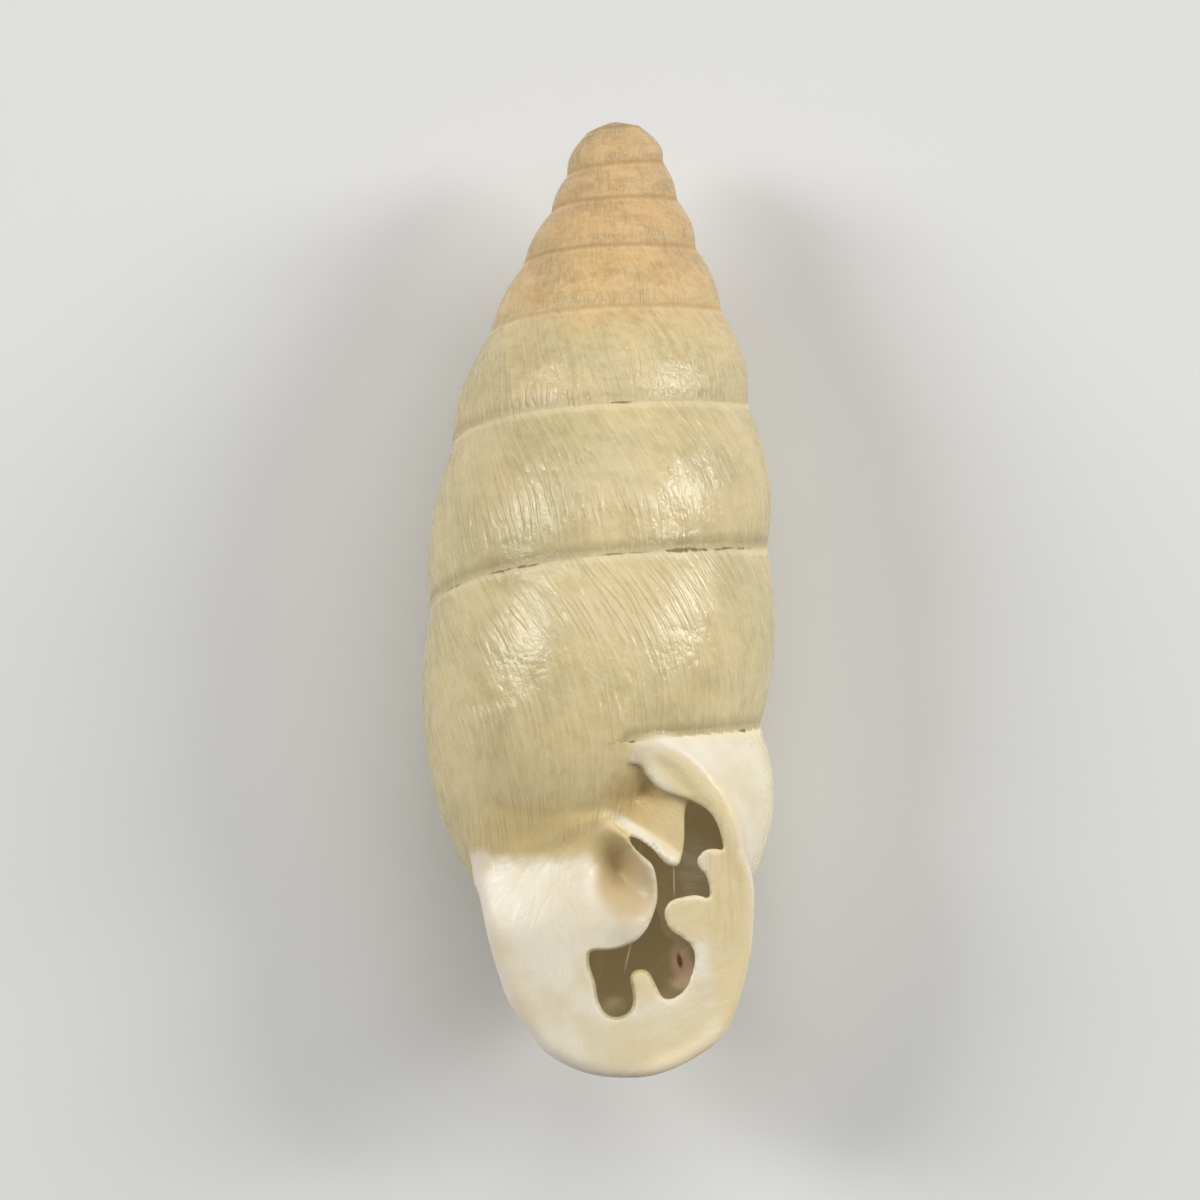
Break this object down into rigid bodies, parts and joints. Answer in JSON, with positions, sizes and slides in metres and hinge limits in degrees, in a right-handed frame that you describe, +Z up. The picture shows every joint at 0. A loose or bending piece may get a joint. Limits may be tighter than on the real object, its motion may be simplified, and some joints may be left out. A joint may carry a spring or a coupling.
{
  "type": "land snail shell",
  "caption": "Long, slender land snail shell with rounded whorls and a small mouth set with teeth inside a wide pale lip; it lies on its back on a worn flat spot.",
  "frame": {"origin": "middle of the shell's bounding box, on the plane it rests on", "axes": "+Y along the shell's axis towards its tip, +Z up through the mouth, +X to the outer lip's side"},
  "size_m": [0.0094, 0.026, 0.009],
  "materials": {
    "shell": "glossy cream shell, tan towards the tip and whiter at the lip"
  },
  "bodies": {
    "root": {"shell": "shell"}
  },
  "joints": []
}
